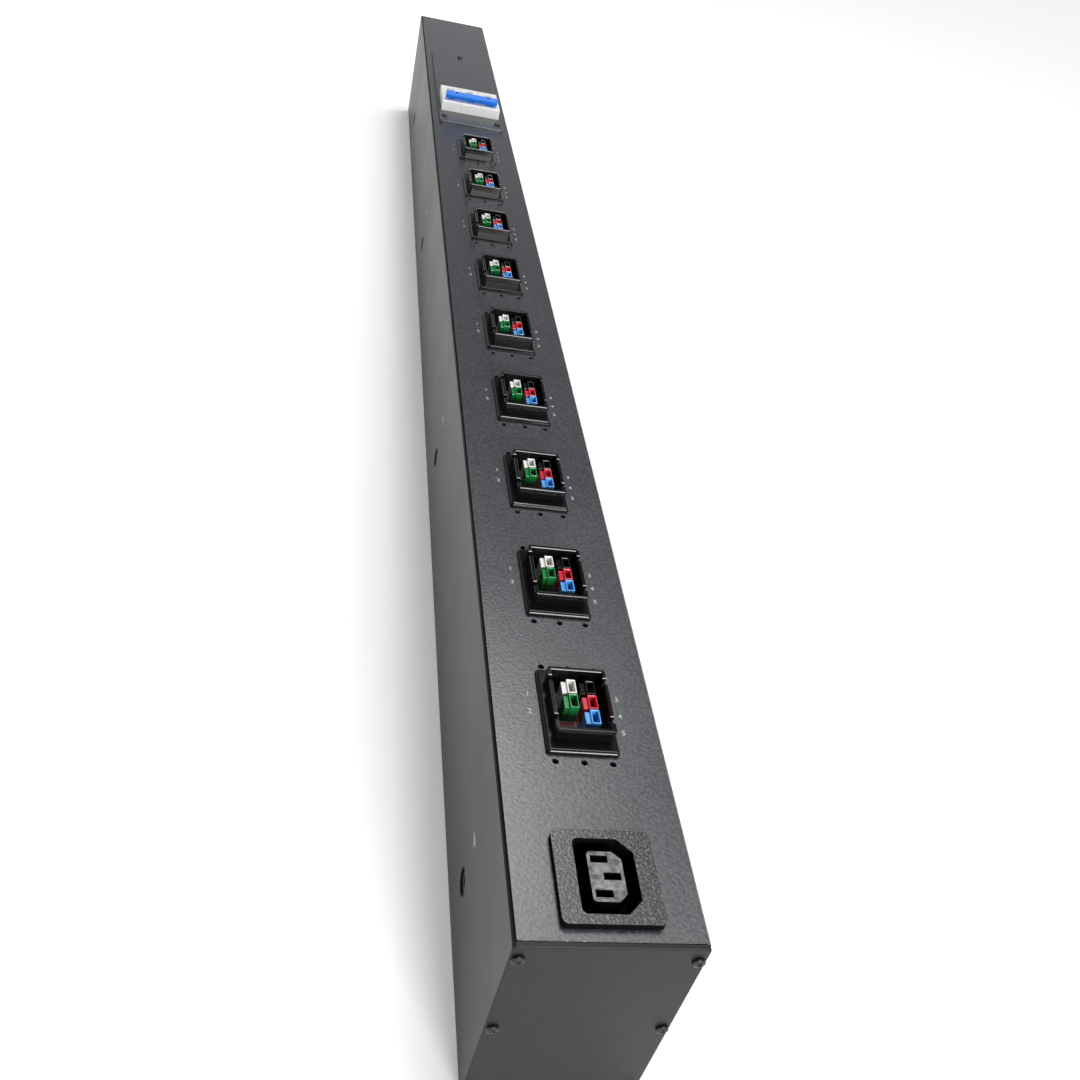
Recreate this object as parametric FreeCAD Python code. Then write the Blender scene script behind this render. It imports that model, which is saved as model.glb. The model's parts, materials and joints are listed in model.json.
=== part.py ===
# Rack power distribution unit: a long slim extruded case with nine five-pole connector outlets,
# one appliance outlet and a three-pole circuit breaker on its face.
# Frame: X across the case, Y along it (appliance outlet at the -Y end), Z from the back face up to
# the outlet face. The origin is the centre of the back face. Lengths are in millimetres.
import FreeCAD
import Part
import math
import os

Vector = FreeCAD.Vector
RIGHT = Vector(1, 0, 0)
AWAY = Vector(0, 1, 0)
UP = Vector(0, 0, 1)

# Case: extruded channel, slide-in front panel and flat end covers
case_width = 70.0
case_depth = 106.0
case_length = 1145.0
wall = 1.5
corner_radius = 1.5
lip_edge = 0.6
cover_thickness = 2.0
land_width = 16.0
land_rise = 2.0

# Screw ports extruded along the case walls
port_inset = 3.1
port_radius = 3.0
port_bore = 1.45
port_slit = 1.5
port_top_drop = 7.3
port_middle_height = 53.2
port_bottom_height = 8.0

# Front panel: a plate whose thin side tongues run in grooves of the case walls
panel_thickness = 2.0
panel_gap_left = 1.3
panel_gap_right = 0.4
tongue_thickness = 1.0
tongue_reach = 0.45
groove_clearance = 0.15

# End cover screws
cover_screw_head = 2.5
cover_screw_head_height = 1.8
cover_screw_shank = 1.4
cover_screw_length = 12.0
cover_hole_clearance = 0.4
head_taper = 0.8

# Cross brackets inside the case and the countersunk screws that clamp them
bracket_leads = [30.8, 36.5, 32.8]
bracket_block_inset = 21.5
bracket_length = 24.0
bracket_sheet = 3.0
bracket_height = 35.0
bracket_seat_gap = 0.1
side_screw_height = 32.6
side_screw_head = 4.65
side_screw_shank = 2.45
side_screw_length = 6.5
side_screw_recess = 0.9
side_screw_clearance = 0.05

# Rear fixing holes in the thick land of the back wall, twenty rack units apart
rear_hole_radius = 2.5
rear_hole_spacing = 889.0

# Outlet row
row_x = 0.8
outlet_count = 9
outlet_first = 104.3
outlet_breaker_gap = 113.3

# Outlet shell: flange on the panel, open collar above it, stem below
flange_width = 30.0
flange_length = 44.2
flange_thickness = 2.4
flange_corner = 1.0
flange_edge = 0.8
collar_width = 24.0
collar_length = 33.4
collar_shift_x = 0.5
collar_shift_y = 0.6
collar_height = 8.7
collar_wall = 1.3
collar_corner = 0.9
bead_proud = 0.45
bead_height = 2.2
well_depth = 3.0
stem_width = 24.6
stem_length = 34.6
stem_depth = 17.0
stem_clearance = 0.2
notch_width = 3.2
notch_depth = 2.4
notch_offset = 10.5
latch_width = 8.0
latch_proud = 1.0
latch_height = 4.0
latch_gap = 0.1

# Contact housings: two columns of three cells, tongue and hood at the front of each housing
cell = 7.9
housing_gap = 0.1
grid_clearance = 0.15
front_left = -2.6
front_right = 3.35
front_split = -0.5
front_root = 1.0
tongue_half = 3.1
tongue_top = 6.6
hood_half = 3.65
hood_top = 7.8
hood_wall = 0.6

# Stamped contacts: a strip in each hood, with a tail down to its bar
strip_thickness = 0.9
strip_width = 4.6
strip_top = 5.0
strip_clearance = 0.1
tail_jog_drop = 24.0
tail_overlap = 4.0

# Retainer frame that closes the stem from below
retainer_thickness = 2.5
retainer_clearance = 0.3

# Small panel holes in threes at both ends of every outlet
vent_radius = 1.3
vent_spacing = 11.7
vent_margin = 3.3

# Appliance outlet near the end of the case
appliance_station = 26.3
appliance_flange_width = 37.4
appliance_flange_length = 38.4
appliance_flange_thickness = 3.0
appliance_flange_corner = 2.5
appliance_body_width = 28.5
appliance_body_length = 33.6
appliance_body_depth = 20.0
recess_width = 22.3
recess_length = 30.6
recess_depth = 17.0
recess_bevel = 5.6
recess_corner = 2.2
core_width = 12.8
core_length = 20.4
core_drop = 0.5
core_bevel = 3.2
core_corner = 1.6
pin_pitch = 14.0
pin_earth_offset = 4.0
pin_slot_width = 6.4
pin_slot_length = 3.0
pin_strip_width = 4.0
pin_strip_thickness = 1.0
pin_strip_drop = 4.0

# Busbars on edge along the case
bar_thickness = 2.5
bar_height = 12.0
bar_start = 14.0
phase_bar_drop = 34.0
return_bar_drop = 66.0
neutral_bar_offset = -12.2

# Comb supports for the busbars
support_side_gap = 3.5
support_length = 16.0
support_margin = 3.0
support_waist = 6.0
support_clearance = 0.15

# Circuit breaker
breaker_far_gap = 297.0
pole_count = 3
pole_pitch = 17.5
pole_gap = 0.1
pole_length = 82.0
face_length = 45.0
face_rise = 10.5
face_edge = 1.0
shoulder_drop = 6.0
rail_drop = 59.0
heel_drop = 6.0
hook_reach = 1.2
hook_clearance = 0.2
terminal_width = 12.0
terminal_height = 16.0
terminal_depth = 14.0
terminal_entry = 11.0

# Breaker toggle: one lever per pole joined by a tie bar, turning on a common axle
toggle_drop = 16.0
toggle_rest_angle = 38.5
drum_proud = 0.3
drum_clearance = 0.4
lever_width = 5.4
lever_thickness = 4.0
lever_side_gap = 0.4
tie_length = 47.2
tie_section = 5.0
tie_height = 5.6
tie_inner_radius = 22.9
tie_edge = 0.6
grip_notch_spread = 28.6
grip_notch_width = 2.0
grip_notch_depth = 1.3
throat_half = 15.5
axle_radius = 1.5
axle_seat_clearance = 0.02
axle_running_clearance = 0.05
axle_end_inset = 0.5

# Mounting rail under the breaker and the bridge that it is welded to
rail_end_inset = 0.5
rail_width = 35.0
rail_hat_width = 27.0
rail_depth = 7.5
rail_sheet = 1.0
bridge_side_gap = 0.4
bridge_length = 40.0
bridge_sheet = 1.5
bridge_foot = 12.0

# Cover plate round the breaker face
plate_side = 2.25
plate_near_reach = 51.0
plate_far_reach = 162.0
plate_thickness = 2.0
plate_corner = 2.5
window_clearance = 0.3
service_margin = 1.5
service_near_reach = 29.0
service_far_reach = 137.0
plate_screw_side_inset = 4.5
plate_screw_near_inset = 14.0
plate_screw_far_inset = 10.0
plate_screw_head = 2.6
plate_screw_head_height = 1.5
plate_screw_shank = 1.45
plate_thread_clearance = 0.05
plate_screw_length = 8.0

# Input terminal block on the last cross bracket
block_side_gap = 3.5
block_breaker_gap = 147.0
block_length = 30.0
block_roof = 6.0
step_length = 20.0
step_roof = 4.0
block_clearance = 0.15
wire_hole_radius = 3.0
wire_hole_depth = 14.0
wire_hole_reach = 7.0

# Earth bond from the earth bar to the case
bond_breaker_gap = 82.0
bond_width = 10.0
bond_sheet = 1.0
bond_foot = 12.0
stud_radius = 2.5
stud_length = 12.0
stud_clearance = 0.05
stud_offset = 6.5
nut_across_flats = 8.0
nut_height = 4.0

# Cable gland in the far end cover
gland_height = 60.0
gland_thread_radius = 16.0
gland_thread_length = 12.0
gland_clearance = 0.2
gland_hex = 38.0
gland_hex_height = 8.0
gland_neck_radius = 14.5
gland_neck_length = 10.0
gland_bore_radius = 12.7
seal_bore_radius = 9.0
seal_length = 14.0
seal_clearance = 0.1
dome_radius = 18.0
dome_length = 14.0
dome_brow = 8.0
dome_shoulder = 12.0
dome_shoulder_radius = 16.2
dome_top_radius = 13.0
dome_mouth_radius = 9.6
dome_lip = 3.0
locknut_hex = 41.0
locknut_height = 6.0

# Small round parts and holes that repeat are drawn with a few flats
hole_count = 6
vent_count = 6
shank_count = 6
head_count = 6
drum_count = 16
sink_count = 12
hex_count = 6

# Through cuts run past both faces by this much
cut_margin = 1.0

# Places worked out from the driving dimensions
half_width = case_width / 2
half_length = case_length / 2
inner_half = half_width - wall
panel_floor = case_depth - panel_thickness
port_x = half_width - port_inset
port_heights = [port_bottom_height, port_middle_height, case_depth - port_top_drop]
bracket_floor = port_bottom_height + port_radius + bracket_seat_gap
breaker_face = case_depth + face_rise
rail_top = breaker_face - rail_drop
bridge_width = 2 * (port_x - port_radius - bridge_side_gap)
rail_length = bridge_width - 2 * rail_end_inset
axle_height = breaker_face - toggle_drop
land_top = wall + land_rise
strip_x = front_split + hood_wall + strip_clearance + strip_thickness / 2
bar_reach = (bar_thickness + strip_thickness) / 2
phase_bar_height = case_depth - phase_bar_drop
return_bar_height = case_depth - return_bar_drop
tail_jog_height = case_depth - tail_jog_drop
support_width = 2 * (inner_half - bracket_sheet - support_side_gap)
block_width = 2 * (inner_half - bracket_sheet - block_side_gap)
block_top = phase_bar_height + bar_height / 2 + block_roof
step_top = return_bar_height + bar_height / 2 + step_roof

# Distances from the near end of the case
breaker_station = case_length - breaker_far_gap
outlet_pitch = (breaker_station - outlet_breaker_gap - outlet_first) / (outlet_count - 1)
outlet_stations = [outlet_first + index * outlet_pitch for index in range(outlet_count)]
plate_start = breaker_station - plate_near_reach
plate_end = breaker_station + plate_far_reach
plate_width = pole_count * pole_pitch + 2 * plate_side
block_start = breaker_station + block_breaker_gap
bond_station = breaker_station + bond_breaker_gap
led_outlets = [outlet_stations[0], outlet_stations[outlet_count // 2], outlet_stations[-1]]
support_stations = [outlet - lead for outlet, lead in zip(led_outlets, bracket_leads)]
bracket_stations = support_stations + [block_start + bracket_block_inset]


def along(distance):
    """Y of a place given as its distance from the near end of the case."""
    return distance - half_length


outlet_places = [along(station) for station in outlet_stations]
breaker_y = along(breaker_station)
appliance_y = along(appliance_station)
pole_places = [row_x + (index - (pole_count - 1) / 2) * pole_pitch for index in range(pole_count)]


def block(x, y, z):
    """Box between the low and high value given for each axis."""
    return Part.makeBox(x[1] - x[0], y[1] - y[0], z[1] - z[0], Vector(x[0], y[0], z[0]))


def span(centre, size):
    """Low and high value of a length laid evenly about its centre."""
    return (centre - size / 2, centre + size / 2)


def upright_edges(shape):
    """Edges that run along Z."""
    return [edge for edge in shape.Edges if abs(edge.tangentAt(edge.FirstParameter).z) > 0.999]


def edges_at(shape, height):
    """Edges that lie in the level plane at a height."""
    return [
        edge
        for edge in shape.Edges
        if abs(edge.BoundBox.ZMin - height) < 1e-4 and abs(edge.BoundBox.ZMax - height) < 1e-4
    ]


def rounded_block(x, y, z, radius):
    """Box with rounded upright corners."""
    body = block(x, y, z)
    return body.makeFillet(radius, upright_edges(body))


def beveled_block(x, y, z, bevel):
    """Box with its upright corners cut off at a bevel."""
    body = block(x, y, z)
    return body.makeChamfer(bevel, upright_edges(body))


def rod(start, direction, radius, length):
    """Round bar from a point along a direction."""
    return Part.makeCylinder(radius, length, start, direction)


def faceted(sections, start, direction, flats):
    """Flat-sided solid through (radius, height) sections along a line from a start point."""
    angles = [2 * math.pi * (index + 0.5) / flats for index in range(flats)]
    rings = []
    for radius, height in sections:
        rings.append([Vector(radius * math.cos(a), radius * math.sin(a), height) for a in angles])
    outlines = [rings[0], rings[-1]]
    for low, high in zip(rings, rings[1:]):
        for index in range(flats):
            after = (index + 1) % flats
            outlines.append([low[index], low[after], high[after], high[index]])
    faces = [Part.Face(Part.makePolygon(points + [points[0]])) for points in outlines]
    body = Part.makeSolid(Part.makeShell(faces))
    if body.Volume < 0:
        body.reverse()
    body.Placement = FreeCAD.Placement(start, FreeCAD.Rotation(UP, direction))
    return body


def drilled(start, direction, radius, length, flats=hole_count):
    """Cutter for a hole whose flats stand clear of a shank of the radius."""
    corner = radius / math.cos(math.pi / flats)
    return faceted([(corner, 0), (corner, length)], start, direction, flats)


def extruded(points, direction):
    """Solid swept from a closed outline of points along a straight direction."""
    outline = Part.makePolygon(points + [points[0]])
    return Part.Face(outline).extrude(direction)


def hexagon(start, direction, across_flats, height):
    """Hexagonal prism standing on a point."""
    corner = across_flats / 2 / math.cos(math.pi / hex_count)
    angles = [2 * math.pi * index / hex_count for index in range(hex_count)]
    prism = extruded([Vector(corner * math.cos(a), corner * math.sin(a), 0) for a in angles], UP * height)
    prism.Placement = FreeCAD.Placement(start, FreeCAD.Rotation(UP, direction))
    return prism


def pan_screw(seat, direction, head, head_height, shank, length):
    """Pan head screw whose head stands on its seat and whose shank runs back into it."""
    dome = faceted([(head, 0), (head * head_taper, head_height)], seat, direction, head_count)
    stem = faceted([(shank, -length), (shank, 0)], seat, direction, shank_count)
    return dome.fuse(stem)


def bent_strip(route, thickness, width):
    """Flat strip with square bends: its route lies in the XZ plane and its width runs along Y."""
    half = thickness / 2
    runs = []
    for (x0, z0), (x1, z1) in zip(route, route[1:]):
        x = (min(x0, x1) - half, max(x0, x1) + half)
        z = (min(z0, z1) - half, max(z0, z1) + half)
        runs.append(block(x, span(0, width), z))
    if len(runs) == 1:
        return runs[0]
    return runs[0].multiFuse(runs[1:]).removeSplitter()


def copies(shape, places):
    """The same solid set down at several places."""
    return Part.makeCompound([shape.translated(place) for place in places])


def base_channel():
    """Extruded channel: back, two side walls with panel grooves, six screw ports and a thick land."""
    length = span(0, case_length - 2 * cover_thickness)
    outer = block(span(0, case_width), length, (0, case_depth))
    heels = [edge for edge in edges_at(outer, 0) if edge.BoundBox.YLength > case_width]
    body = outer.makeFillet(corner_radius, heels)
    lips = [edge for edge in edges_at(body, case_depth) if edge.BoundBox.YLength > case_width]
    body = body.makeChamfer(lip_edge, lips)
    hollow = block((-inner_half, inner_half), length, (wall, case_depth))
    land = block(span(0, land_width), length, (wall, land_top))
    body = body.cut(hollow).fuse(land)
    start_y = length[0]
    run = length[1] - length[0]
    ports = []
    bores = []
    for side in (-1, 1):
        for height in port_heights:
            axis = Vector(side * port_x, start_y, height)
            boss = block(span(side * port_x, 2 * port_radius), length, span(height, 2 * port_radius))
            ports.append(boss)
            bores.append(drilled(axis, AWAY, port_bore, run))
            slit_end = side * (port_x - port_radius - cut_margin)
            slit = (min(slit_end, side * port_x), max(slit_end, side * port_x))
            bores.append(block(slit, length, span(height, port_slit)))
        groove_end = side * (inner_half + tongue_reach + groove_clearance)
        groove = (min(groove_end, side * inner_half), max(groove_end, side * inner_half))
        bores.append(block(groove, length, (panel_floor, panel_floor + tongue_thickness + groove_clearance)))
    body = body.multiFuse(ports).cut(bores)
    holes = []
    for station in bracket_stations:
        for side in (-1, 1):
            seat = Vector(side * half_width, along(station), side_screw_height)
            holes.append(countersink(seat, RIGHT * -side))
    for side in (-1, 1):
        start = Vector(0, side * rear_hole_spacing / 2, 0)
        holes.append(rod(start, UP, rear_hole_radius, land_top))
    return body.cut(holes).removeSplitter()


def countersink(seat, inward):
    """Cutter for a side screw: cone from the outer face down to the shank, then a plain bore."""
    mouth = side_screw_head + side_screw_recess + side_screw_clearance
    throat = side_screw_shank + side_screw_clearance
    depth = mouth - throat
    reach = wall + bracket_sheet
    return faceted([(mouth, 0), (throat, depth), (throat, reach)], seat, inward, sink_count)


def side_screws():
    """Countersunk screws, sunk a little below the side faces."""
    cone = side_screw_head - side_screw_shank
    end = side_screw_recess + side_screw_length
    sections = [(side_screw_head, side_screw_recess), (side_screw_shank, side_screw_recess + cone)]
    sections.append((side_screw_shank, end))
    screws = []
    for station in bracket_stations:
        for side in (-1, 1):
            seat = Vector(side * half_width, along(station), side_screw_height)
            screws.append(faceted(sections, seat, RIGHT * -side, sink_count))
    return Part.makeCompound(screws)


def cross_brackets():
    """U-shaped brackets that stand on the bottom ports between the side walls."""
    brackets = []
    for station in bracket_stations:
        length = span(along(station), bracket_length)
        z = (bracket_floor, bracket_floor + bracket_height)
        body = block((-inner_half, inner_half), length, z)
        gap = block(
            (-inner_half + bracket_sheet, inner_half - bracket_sheet),
            length,
            (bracket_floor + bracket_sheet, z[1]),
        )
        body = body.cut(gap)
        for side in (-1, 1):
            seat = Vector(side * half_width, along(station), side_screw_height)
            body = body.cut(countersink(seat, RIGHT * -side))
        brackets.append(body)
    return Part.makeCompound(brackets)


def front_panel():
    """Slide-in panel with tongues, outlet cut-outs, small holes and the breaker opening."""
    length = span(0, case_length - 2 * cover_thickness)
    plate_x = (-inner_half + panel_gap_left, inner_half - panel_gap_right)
    body = block(plate_x, length, (panel_floor, case_depth))
    reach = inner_half + tongue_reach
    tongues = block((-reach, reach), length, (panel_floor, panel_floor + tongue_thickness))
    body = body.fuse(tongues)
    z = (panel_floor - cut_margin, case_depth + cut_margin)
    cuts = []
    for place in outlet_places:
        stem_x = span(row_x, stem_width + 2 * stem_clearance)
        cuts.append(block(stem_x, span(place, stem_length + 2 * stem_clearance), z))
        for end in (-1, 1):
            vent_y = place + end * (flange_length / 2 + vent_margin)
            for column in (-1, 0, 1):
                start = Vector(row_x + column * vent_spacing, vent_y, z[0])
                cuts.append(drilled(start, UP, vent_radius, z[1] - z[0], vent_count))
    appliance_x = span(row_x, appliance_body_width + 2 * stem_clearance)
    cuts.append(block(appliance_x, span(appliance_y, appliance_body_length + 2 * stem_clearance), z))
    service_x = span(row_x, plate_width - 2 * service_margin)
    service_y = (breaker_y - service_near_reach, breaker_y + service_far_reach)
    cuts.append(block(service_x, service_y, z))
    for place in plate_screw_places():
        start = Vector(place.x, place.y, z[0])
        cuts.append(drilled(start, UP, plate_screw_shank + plate_thread_clearance, z[1] - z[0]))
    return body.cut(cuts).removeSplitter()


def end_cover(side):
    """Flat end plate with its six screw holes."""
    inner = side * (half_length - cover_thickness)
    y = (min(inner, side * half_length), max(inner, side * half_length))
    body = block(span(0, case_width), y, (0, case_depth))
    body = body.makeFillet(corner_radius, [e for e in body.Edges if e.BoundBox.YLength > cover_thickness / 2])
    holes = []
    for place in cover_screw_places(side):
        holes.append(drilled(place, AWAY * -side, cover_screw_shank + cover_hole_clearance, cover_thickness))
    return body.cut(holes)


def cover_screw_places(side):
    """Screw seats on the outer face of one end cover."""
    return [Vector(x, side * half_length, z) for x in (-port_x, port_x) for z in port_heights]


def cover_screws(side):
    """Pan head screws of one end cover."""
    screws = []
    for place in cover_screw_places(side):
        screws.append(
            pan_screw(
                place,
                AWAY * side,
                cover_screw_head,
                cover_screw_head_height,
                cover_screw_shank,
                cover_screw_length,
            )
        )
    return Part.makeCompound(screws)


def outlet_shell():
    """Moulded outlet shell about its own centre, with the panel face at zero height."""
    rim = (span(0, flange_width), span(0, flange_length), (0, flange_thickness))
    flange = beveled_block(*rim, flange_corner)
    flange = flange.makeChamfer(flange_edge, edges_at(flange, flange_thickness))
    collar_x = span(collar_shift_x, collar_width)
    collar_y = span(collar_shift_y, collar_length)
    collar = beveled_block(collar_x, collar_y, (0, collar_height), collar_corner)
    bead = beveled_block(
        span(collar_shift_x, collar_width + 2 * bead_proud),
        span(collar_shift_y, collar_length + 2 * bead_proud),
        (collar_height - bead_height, collar_height),
        collar_corner,
    )
    stem = block(span(0, stem_width), span(0, stem_length), (-stem_depth, 0))
    shell = flange.multiFuse([collar, bead, stem])
    well_x = span(collar_shift_x, collar_width - 2 * collar_wall)
    well_y = span(collar_shift_y, collar_length - 2 * collar_wall)
    cuts = [block(well_x, well_y, (-well_depth, collar_height))]
    throat = (2 * cell + 2 * grid_clearance, 3 * cell + 2 * grid_clearance)
    cuts.append(block(span(0, throat[0]), span(0, throat[1]), (-stem_depth, 0)))
    for end in (-1, 1):
        notch = span(collar_shift_y + end * notch_offset, notch_width)
        cuts.append(block(span(0, 2 * collar_width), notch, (collar_height - notch_depth, collar_height)))
    shell = shell.cut(cuts)
    latches = []
    for end in (-1, 1):
        root = end * stem_length / 2
        top = -panel_thickness - latch_gap
        tip = root + end * (latch_proud + stem_clearance)
        outline = [(root, top), (tip, top), (root, top - latch_height)]
        points = [Vector(-latch_width / 2, y, z) for y, z in outline]
        latches.append(extruded(points, RIGHT * latch_width))
    return shell.multiFuse(latches).removeSplitter()


def contact_housing():
    """One contact housing about its cell: square base, solid tongue and open hood in front."""
    base = block(span(0, cell - housing_gap), span(0, cell - housing_gap), (-stem_depth, -front_root))
    tongue = block((front_left, front_split), (-tongue_half, tongue_half), (-front_root, tongue_top))
    hood = block((front_split, front_right), (-hood_half, hood_half), (-front_root, hood_top))
    mouth_x = (front_split + hood_wall, front_right - hood_wall)
    mouth = block(mouth_x, span(0, 2 * (hood_half - hood_wall)), (-stem_depth, hood_top))
    return base.multiFuse([tongue, hood]).cut(mouth).removeSplitter()


def blank_spacer():
    """Low filler in the one cell of each outlet that holds no housing."""
    return block(span(0, cell - housing_gap), span(0, cell - housing_gap), (-stem_depth, -front_root))


def retainer():
    """Frame that closes a stem from below, with one window for the contact tails."""
    z = (-stem_depth - retainer_thickness, -stem_depth)
    body = block(span(0, stem_width), span(0, stem_length), z)
    reach_x = strip_thickness / 2 + retainer_clearance
    reach_y = strip_width / 2 + retainer_clearance
    window_x = (strip_x - cell / 2 - reach_x, strip_x + cell / 2 + reach_x)
    return body.cut(block(window_x, span(0, 2 * (cell + reach_y)), z))


# Cell of every pole in an outlet: column left or right of the middle, row towards the far end
pole_cells = {
    "neutral": (-1, 1),
    "earth": (-1, 0),
    "line_1": (1, 1),
    "line_2": (1, 0),
    "line_3": (1, -1),
}
blank_cell = (-1, -1)

# Bar of every pole: place across the case, height, and the side of the bar that its tails lie on
pole_bars = {
    "neutral": (row_x + neutral_bar_offset, return_bar_height, 1),
    "earth": (row_x - cell / 2 + strip_x - bar_reach, return_bar_height, 1),
    "line_1": (pole_places[2], phase_bar_height, -1),
    "line_2": (row_x + cell / 2 + strip_x - bar_reach, phase_bar_height, 1),
    "line_3": (pole_places[0], phase_bar_height, 1),
}


def cell_places(column, row):
    """The places of one cell in all outlets, at the height of the panel face."""
    return [Vector(row_x + column * cell / 2, y + row * cell, case_depth) for y in outlet_places]


def outlet_contacts(pole):
    """Stamped contacts of one pole, each with its tail on that pole's bar."""
    column, row = pole_cells[pole]
    bar_x, bar_z, side = pole_bars[pole]
    x = row_x + column * cell / 2 + strip_x
    tail_x = bar_x + side * bar_reach
    half = strip_thickness / 2
    route = [(x, case_depth + strip_top - half), (x, tail_jog_height)]
    if abs(tail_x - x) > strip_thickness:
        route.append((tail_x, tail_jog_height))
        route.append((tail_x, bar_z - tail_overlap + half))
    else:
        route = [route[0], (x, bar_z - tail_overlap + half)]
    strip = bent_strip(route, strip_thickness, strip_width)
    return copies(strip, [Vector(0, y + row * cell, 0) for y in outlet_places])


def busbar(pole):
    """Flat bar on edge from the near end to the breaker, or past it for neutral and earth."""
    x, z, _ = pole_bars[pole]
    if z == phase_bar_height:
        end = breaker_station - pole_length / 2 + terminal_entry
    else:
        end = block_start + block_length + step_length - wire_hole_reach / 2
    return block(span(x, bar_thickness), (along(bar_start), along(end)), span(z, bar_height))


def line_links():
    """Short bars from the terminal block to the breaker's line terminals."""
    start = breaker_station + pole_length / 2 - terminal_entry
    end = block_start + wire_hole_depth
    z = span(phase_bar_height, bar_height)
    links = []
    for pole in ("line_1", "line_2", "line_3"):
        x = span(pole_bars[pole][0], bar_thickness)
        links.append(block(x, (along(start), along(end)), z))
    return Part.makeCompound(links)


def bar_tunnels(length, clearance, poles):
    """Cutters round the bars of some poles over a stretch of the case."""
    cutters = []
    for pole in poles:
        x, z, _ = pole_bars[pole]
        across = span(x, bar_thickness + 2 * clearance)
        cutters.append(block(across, length, span(z, bar_height + 2 * clearance)))
    return cutters


def bar_supports():
    """Moulded combs on the cross brackets that hold the bars."""
    z = (bracket_floor + bracket_sheet, phase_bar_height + bar_height / 2 + support_margin)
    supports = []
    for station in support_stations:
        length = span(along(station), support_length)
        body = block(span(0, support_width), length, z)
        waist = (return_bar_height + bar_height, phase_bar_height - bar_height)
        for side in (-1, 1):
            flank = span(side * (support_width - support_waist) / 2, support_waist)
            body = body.cut(block(flank, length, waist))
        body = body.cut(bar_tunnels(length, support_clearance, pole_bars))
        supports.append(body.removeSplitter())
    return Part.makeCompound(supports)


def beveled_plug(width, length, z, bevel, corner):
    """Appliance outlet outline: two beveled corners on the +X side, rounded ones opposite."""
    half_x = width / 2
    half_y = length / 2
    outline = [
        (-half_x, -half_y),
        (half_x - bevel, -half_y),
        (half_x, -half_y + bevel),
        (half_x, half_y - bevel),
        (half_x - bevel, half_y),
        (-half_x, half_y),
    ]
    body = extruded([Vector(x, y, z[0]) for x, y in outline], UP * (z[1] - z[0]))
    heels = [edge for edge in upright_edges(body) if edge.BoundBox.XMax < -half_x + 0.01]
    return body.makeFillet(corner, heels)


def pin_places():
    """Pin slots of the appliance outlet: line, neutral, earth."""
    near_side = -pin_earth_offset / 2
    return [
        (near_side, pin_pitch / 2, "line_2", -1),
        (near_side, -pin_pitch / 2, "neutral", 1),
        (pin_earth_offset / 2, 0, "earth", 1),
    ]


def appliance_outlet_body():
    """Appliance outlet: flange, body behind the panel, groove round a core with three slots."""
    x = span(0, appliance_flange_width)
    y = span(0, appliance_flange_length)
    top = appliance_flange_thickness
    flange = rounded_block(x, y, (0, top), appliance_flange_corner)
    stem = block(span(0, appliance_body_width), span(0, appliance_body_length), (-appliance_body_depth, 0))
    floor = top - recess_depth
    recess = beveled_plug(recess_width, recess_length, (floor, top), recess_bevel, recess_corner)
    core = beveled_plug(core_width, core_length, (floor, top - core_drop), core_bevel, core_corner)
    body = flange.fuse(stem).cut(recess).fuse(core)
    slots = []
    for pin_x, pin_y, _, _ in pin_places():
        slot_z = (-appliance_body_depth, top)
        slots.append(block(span(pin_x, pin_slot_width), span(pin_y, pin_slot_length), slot_z))
    latches = []
    for end in (-1, 1):
        root = end * appliance_body_length / 2
        rim = -panel_thickness - latch_gap
        tip = root + end * (latch_proud + stem_clearance)
        outline = [(root, rim), (tip, rim), (root, rim - latch_height)]
        points = [Vector(-latch_width / 2, py, pz) for py, pz in outline]
        latches.append(extruded(points, RIGHT * latch_width))
    body = body.cut(slots).multiFuse(latches).removeSplitter()
    return body.translated(Vector(row_x, appliance_y, case_depth))


def appliance_outlet_contacts():
    """Flat contacts of the appliance outlet, each led down to its bar."""
    contacts = []
    half = pin_strip_width / 2
    top = case_depth + appliance_flange_thickness - core_drop - pin_strip_drop - half
    for pin_x, pin_y, pole, side in pin_places():
        bar_x, bar_z, _ = pole_bars[pole]
        tail_x = bar_x + side * (bar_thickness / 2 + half)
        x = row_x + pin_x
        route = [(x, top), (x, tail_jog_height)]
        route += [(tail_x, tail_jog_height), (tail_x, bar_z - tail_overlap + half)]
        strip = bent_strip(route, pin_strip_width, pin_strip_thickness)
        contacts.append(strip.translated(Vector(0, appliance_y + pin_y, 0)))
    return Part.makeCompound(contacts)


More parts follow.
